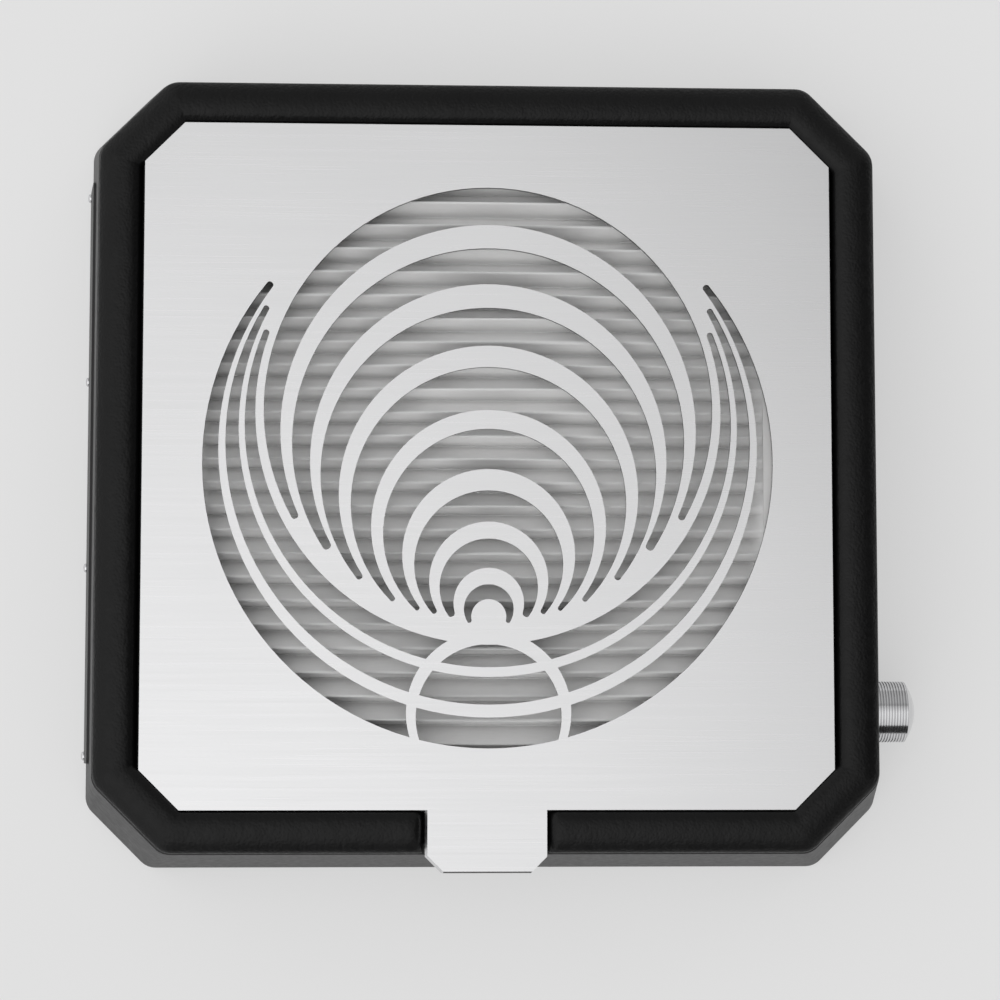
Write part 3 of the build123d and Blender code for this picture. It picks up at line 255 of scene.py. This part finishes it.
MATERIALS = {
    "leatherette_wall": leatherette("leatherette_wall", (0.010, 0.010, 0.0102),
                                    (0.014, 0.014, 0.0143), 0.5, 0.5, 0.1),
    "leatherette_pad": leatherette("leatherette_pad", (0.0032, 0.0032, 0.0033),
                                   (0.0046, 0.0046, 0.0047), 0.19, 0.42, 0.5),
    "grille_steel": brushed("grille_steel", (0.595, 0.595, 0.6), (0.65, 0.65, 0.655), 0.3, strength=0.12),
    "turned_aluminium": turned("turned_aluminium", (0.76, 0.76, 0.77), 0.13),
    "pleated_paper": filter_paper("pleated_paper"),
    "frame_board": cast("frame_board", (0.86, 0.855, 0.85), 0.7, grain=600, specular=0.3),
    "seal_foam": cast("seal_foam", (0.03, 0.03, 0.03), 0.9, grain=1400, spread=0.4, strength=0.8,
                      specular=0.2),
    "rim_board": cast("rim_board", (0.012, 0.012, 0.012), 0.8, grain=700, spread=0.3, strength=0.4,
                      specular=0.1),
    "magnet": cast("magnet", (0.62, 0.62, 0.64), 0.2, 1.0, grain=300, strength=0.05),
    "foot_rubber": cast("foot_rubber", (0.02, 0.02, 0.02), 0.8, grain=1200, strength=0.4, specular=0.3),
    "cover_paint": cast("cover_paint", (0.02, 0.02, 0.0205), 0.5, grain=1600, strength=0.3),
    "deck_paint": cast("deck_paint", (0.07, 0.07, 0.075), 0.45, grain=1600, strength=0.3),
    "zinc_screw": cast("zinc_screw", (0.60, 0.60, 0.58), 0.28, 1.0, grain=500, strength=0.08),
    "black_plastic": cast("black_plastic", (0.015, 0.015, 0.016), 0.5, grain=1800, strength=0.35),
    "guard_wire": cast("guard_wire", (0.45, 0.45, 0.46), 0.25, 1.0, grain=500, strength=0.08),
    "core_steel": cast("core_steel", (0.26, 0.26, 0.27), 0.4, 1.0, grain=800, strength=0.2),
    "copper_winding": wound_copper("copper_winding"),
    "board_laminate": circuit_laminate("board_laminate"),
    "part_plastic": cast("part_plastic", (0.05, 0.16, 0.38), 0.3, grain=700, strength=0.1),
    "lead_sheath": cast("lead_sheath", (0.22, 0.22, 0.23), 0.5, grain=900, strength=0.2),
    "bright_steel": cast("bright_steel", (0.66, 0.66, 0.67), 0.16, 1.0, grain=400, strength=0.05),
}

for subpart in frame["record"]["subparts"]:
    node = nodes[subpart["node"]]
    node.data.materials.clear()
    node.data.materials.append(MATERIALS[subpart["material_slot"]])

# ---- Padded rim ---------------------------------------------------------------------------------


def new_piece(name, mesh_builder, slot, body):
    """A smooth-shaded object made from a mesh builder, riding on a body."""
    mesh = bpy.data.meshes.new(name)
    mesh_builder.to_mesh(mesh)
    mesh_builder.free()
    piece = bpy.data.objects.new(name, mesh)
    scene.collection.objects.link(piece)
    mesh.materials.append(MATERIALS[slot])
    mesh.shade_smooth()
    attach(piece, body)
    return piece


RIM_BOTTOM = 56.0 * MM
SWELL_SCALE = 28
RIM_CUT = 26.8 * MM
CORNER_ROUND = 9.0
INNER_ROUND = 1.2
CORNER_STEPS = 6
PATH_STEP = 3 * MM
NOTCH = (-24.9 * MM, 22.9 * MM)
END_ROUND = 3.8
END_STEPS = (0.06, 0.2, 0.42, 0.7)
END_RUN = 4.6 * MM

rim_half_x = (pad_high.x - pad_low.x) / 2
rim_half_y = (pad_high.y - pad_low.y) / 2

# Section of the pad in mm, as (distance in from the widest line, height above the shell): a
# steep outer side, a low crown and a round inner edge.
SECTION = [
    (0.9, 0.1), (0.45, 1.0), (0.12, 2.4), (0.0, 3.8), (0.15, 4.9), (0.6, 5.9), (1.5, 6.85), (2.7, 7.75),
    (4.0, 8.5), (5.4, 9.1), (7.2, 9.6), (9.2, 9.86), (11.2, 9.84), (12.8, 9.55), (14.0, 9.05),
    (15.0, 8.2), (15.7, 7.1), (16.15, 5.7), (16.4, 4.1), (16.5, 2.3), (16.5, 0.1),
]


def rounded_octagon(half_x, half_y, cut, radius, steps):
    """Points round an octagon with rounded corners, from the front left clockwise."""
    corners = []
    for sign_x, sign_y, order in ((-1, -1, 0), (-1, 1, 1), (1, 1, 0), (1, -1, 1)):
        pair = [Vector((sign_x * (half_x - cut), sign_y * half_y)),
                Vector((sign_x * half_x, sign_y * (half_y - cut)))]
        corners += pair[::-1] if order else pair
    points = []
    for i, here in enumerate(corners):
        into = (here - corners[i - 1]).normalized()
        out = (corners[(i + 1) % len(corners)] - here).normalized()
        turn = into.angle(out)
        start = here - into * radius * sin(turn / 2) / cos(turn / 2)
        outward = Vector((-into.y, into.x))
        centre = start - outward * radius
        for step in range(steps + 1):
            angle = -turn * step / steps
            points.append(centre + radius * Vector((
                outward.x * cos(angle) - outward.y * sin(angle),
                outward.x * sin(angle) + outward.y * cos(angle),
            )))
    return points


def ring_points(inset, counts=None):
    """The rim's line at an inset, from the notch's left end round to its right end; long runs
    are divided into the same number of pieces at every inset."""
    d = inset * MM
    radius = max(CORNER_ROUND - inset, INNER_ROUND) * MM
    corners = rounded_octagon(rim_half_x - d, rim_half_y - d, RIM_CUT - d * (2 - sqrt(2)), radius,
                              CORNER_STEPS)
    front = -rim_half_y + d
    line = [Vector((NOTCH[0], front))] + corners + [Vector((NOTCH[1], front))]
    if counts is None:
        counts = [max(1, round((b - a).length / PATH_STEP)) for a, b in zip(line, line[1:])]
    points = []
    for index, (a, b) in enumerate(zip(line, line[1:])):
        for i in range(counts[index]):
            points.append(a.lerp(b, i / counts[index]))
    points.append(line[-1])
    # closer steps at both ends, where the pad is rounded off
    left_end = [points[0] + Vector((-END_RUN * share, 0)) for share in END_STEPS]
    right_end = [points[-1] + Vector((END_RUN * share, 0)) for share in reversed(END_STEPS)]
    inner = [point for point in points[1:-1] if point.y > front + MM or not
             NOTCH[0] - END_RUN < point.x < NOTCH[1] + END_RUN]
    return points[:1] + left_end + inner + right_end + points[-1:], counts


def build_rim():
    """The section carried round the rim, closed underneath and rounded off at both ends."""
    builder = bmesh.new()
    counts = ring_points(0)[1]
    columns = []
    for inset, height in SECTION:
        column = []
        for point in ring_points(inset, counts)[0]:
            level = height
            if point.y < -rim_half_y + 20 * MM and NOTCH[0] - 8 * MM < point.x < NOTCH[1] + 8 * MM:
                to_end = min(abs(point.x - NOTCH[0]), abs(point.x - NOTCH[1])) / MM
                short = max(0, 1 - to_end / END_ROUND)
                level = height * (0.3 + 0.7 * sqrt(1 - short * short))
            spot = Vector((point.x, point.y, 0)) * SWELL_SCALE
            swell = noise.noise(spot) * 0.16 + noise.noise(spot * 3.1 + Vector((7, 3, 0))) * 0.06
            lift = 1 - 0.02 * (1 + swell * 3) * (height / 10)
            side = swell * 0.5 * (1 if inset < 8 else -1) * min(1, height / 4)
            inward = Vector((-point.x / rim_half_x, -point.y / rim_half_y)) * max(0, side) * MM * 0.6
            column.append(builder.verts.new((
                AXIS.x + point.x + inward.x, AXIS.y + point.y + inward.y,
                RIM_BOTTOM + level * lift * MM,
            )))
        columns.append(column)
    for a, b in zip(columns, columns[1:] + columns[:1]):
        for i in range(len(a) - 1):
            builder.faces.new((a[i], a[i + 1], b[i + 1], b[i]))
    builder.faces.new([column[0] for column in columns])
    builder.faces.new([column[-1] for column in columns][::-1])
    bmesh.ops.recalc_face_normals(builder, faces=builder.faces)
    piece = new_piece("rim_cushion", builder, "leatherette_pad", "housing")
    smoother = piece.modifiers.new("smooth", "SUBSURF")
    smoother.levels = smoother.render_levels = 1
    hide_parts("rim_pad")


build_rim()

# ---- Pleated media ----------------------------------------------------------------------------------

RIDGE_FIRST = 102.9 * MM
RIDGE_PITCH = 9.13 * MM
RIDGE_COUNT = 23
LEAD_BACK = 3.7 * MM
LEAD_FRONT = 1.2 * MM
PLEAT_DEPTH = 14.0 * MM
PAPER_THICK = 0.5 * MM
COLUMNS = 200
FLANK_STEPS = 9
SEAL_FROM = 3.0 * MM
SEAL_RUN = 4.5 * MM


def build_media():
    """Folded paper: rounded ridges, bulging flanks and pinched valleys."""
    builder = bmesh.new()
    low_x, high_x = media_low.x, media_high.x
    top = media_high.z
    profile = []
    for k in range(-1, RIDGE_COUNT + 1):
        ridge = RIDGE_FIRST - RIDGE_PITCH * k
        share = k / RIDGE_COUNT
        lead = LEAD_BACK + (LEAD_FRONT - LEAD_BACK) * share
        for side in (0, 1):
            for step in range(FLANK_STEPS):
                t = step / FLANK_STEPS
                if side == 0:
                    across = -lead * t
                    depth = t
                    bulge = -0.55 * MM * sin(pi * t)
                else:
                    across = -lead - (RIDGE_PITCH - lead) * t
                    depth = 1 - t
                    bulge = 0.35 * MM * sin(pi * t)
                profile.append((k, side, t, ridge + across + bulge, depth))
    rows = []
    for k, side, t, y, depth in profile:
        row = []
        for c in range(COLUMNS + 1):
            x = low_x + (high_x - low_x) * c / COLUMNS
            wander = noise.noise(Vector((x * 14, k * 3.7, 1.3))) * 0.35 * MM
            ripple = noise.noise(Vector((x * 60, k * 2.1 + side, depth * 1.5))) * 0.22 * MM
            drop = noise.noise(Vector((x * 20, k * 5.3, 9.1))) * 0.25 * MM * (1 - depth)
            to_end = min(x - low_x, high_x - x)
            sealed = min(1, max(0, (to_end - SEAL_FROM) / SEAL_RUN))
            row.append(builder.verts.new((
                x, AXIS.y + y + wander + ripple * 4 * depth * (1 - depth),
                top - 0.2 * MM - PLEAT_DEPTH * depth * sealed + drop,
            )))
        rows.append(row)
    for row_a, row_b in zip(rows, rows[1:]):
        for c in range(COLUMNS):
            builder.faces.new((row_a[c], row_a[c + 1], row_b[c + 1], row_b[c]))
    bmesh.ops.recalc_face_normals(builder, faces=builder.faces)
    piece = new_piece("pleated_media", builder, "pleated_paper", "filter")
    thick = piece.modifiers.new("paper", "SOLIDIFY")
    thick.thickness = PAPER_THICK
    thick.offset = -1
    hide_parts("filter_media")


build_media()

# ---- Floor and world ---------------------------------------------------------------------------

FLOOR_HALF = 6.0
FLOOR_GLOW = 0.46
FLOOR_SHADE = 0.36
PALE = 0.70
BOX_LEVEL = 1.57
BACK_LEVEL = 0.5
LEFT_LEVEL = 1.0
CARD_LEVEL = 0.45
DARK_LEVEL = 0.03


def build_floor():
    """A light table: a pale floor that is lit through from below."""
    builder = bmesh.new()
    bmesh.ops.create_grid(builder, x_segments=4, y_segments=4, size=FLOOR_HALF)
    mesh = bpy.data.meshes.new("floor")
    builder.to_mesh(mesh)
    builder.free()
    floor = bpy.data.objects.new("floor", mesh)
    scene.collection.objects.link(floor)
    shader = Shader("floor", (FLOOR_SHADE, FLOOR_SHADE, FLOOR_SHADE), 0.9, specular=0.0)
    shader.surface.inputs["Emission Color"].default_value = (1, 1, 1, 1)
    shader.surface.inputs["Emission Strength"].default_value = FLOOR_GLOW
    mesh.materials.append(shader.material)


class Sky:
    """Short ways to add maths to the world's nodes."""

    def __init__(self, tree):
        self.tree = tree

    def link(self, value, socket):
        if isinstance(value, bpy.types.NodeSocket):
            self.tree.links.new(value, socket)
        else:
            socket.default_value = value

    def math(self, operation, first, second=0.0):
        node = self.tree.nodes.new("ShaderNodeMath")
        node.operation = operation
        self.link(first, node.inputs[0])
        self.link(second, node.inputs[1])
        return node.outputs[0]

    def ramp(self, value, start, end, low=0.0, high=1.0):
        """Smooth change from low to high as the value goes from start to end."""
        node = self.tree.nodes.new("ShaderNodeMapRange")
        node.interpolation_type = "SMOOTHSTEP"
        for index, number in enumerate((value, start, end, low, high)):
            self.link(number, node.inputs[index])
        return node.outputs[0]

    def product(self, *values):
        total = values[0]
        for value in values[1:]:
            total = self.math("MULTIPLY", total, value)
        return total


def build_world():
    """A long softbox overhead, reaching far to the front; a bright wall behind and to the left;
    a card at the front right corner. The camera itself sees only the pale floor's tone."""
    world = bpy.data.worlds.new("studio")
    scene.world = world
    world.use_nodes = True
    tree = world.node_tree
    sky = Sky(tree)
    coordinates = tree.nodes.new("ShaderNodeTexCoord")
    split = tree.nodes.new("ShaderNodeSeparateXYZ")
    tree.links.new(coordinates.outputs["Generated"], split.inputs[0])
    x, y, z = split.outputs
    to_right = sky.math("ARCTAN2", x, z)
    to_back = sky.math("ARCTAN2", y, z)
    inside = sky.product(
        sky.ramp(to_back, radians(-57), radians(-52)),
        sky.ramp(to_back, radians(19), radians(27), 1, 0),
        sky.ramp(to_right, radians(-50), radians(-42)),
        sky.ramp(to_right, radians(30), radians(42), 1, 0),
    )
    strength = sky.product(
        BOX_LEVEL,
        sky.ramp(to_right, radians(2.5), radians(15), 1.0, 0.5),
        sky.ramp(to_back, radians(-6), radians(20), 1.0, 0.68),
    )
    back_wall = sky.ramp(y, 0.15, 0.6, 0, BACK_LEVEL)
    left_wall = sky.ramp(x, -0.5, -0.1, LEFT_LEVEL, 0)
    corner_card = sky.product(CARD_LEVEL, sky.ramp(x, 0.35, 0.55), sky.ramp(y, -0.5, -0.3, 1, 0))
    around = sky.math("ADD", sky.math("MAXIMUM", back_wall, sky.math("MAXIMUM", left_wall, corner_card)),
                      DARK_LEVEL)
    level = sky.math("ADD", sky.product(inside, strength),
                     sky.product(sky.math("SUBTRACT", 1.0, inside), around))
    seen = tree.nodes.new("ShaderNodeLightPath").outputs["Is Camera Ray"]
    mixed = sky.math("ADD", sky.product(seen, PALE),
                     sky.product(sky.math("SUBTRACT", 1.0, seen), level))
    background = tree.nodes["Background"]
    background.inputs[0].default_value = (1, 1, 1, 1)
    tree.links.new(mixed, background.inputs[1])


build_floor()
build_world()
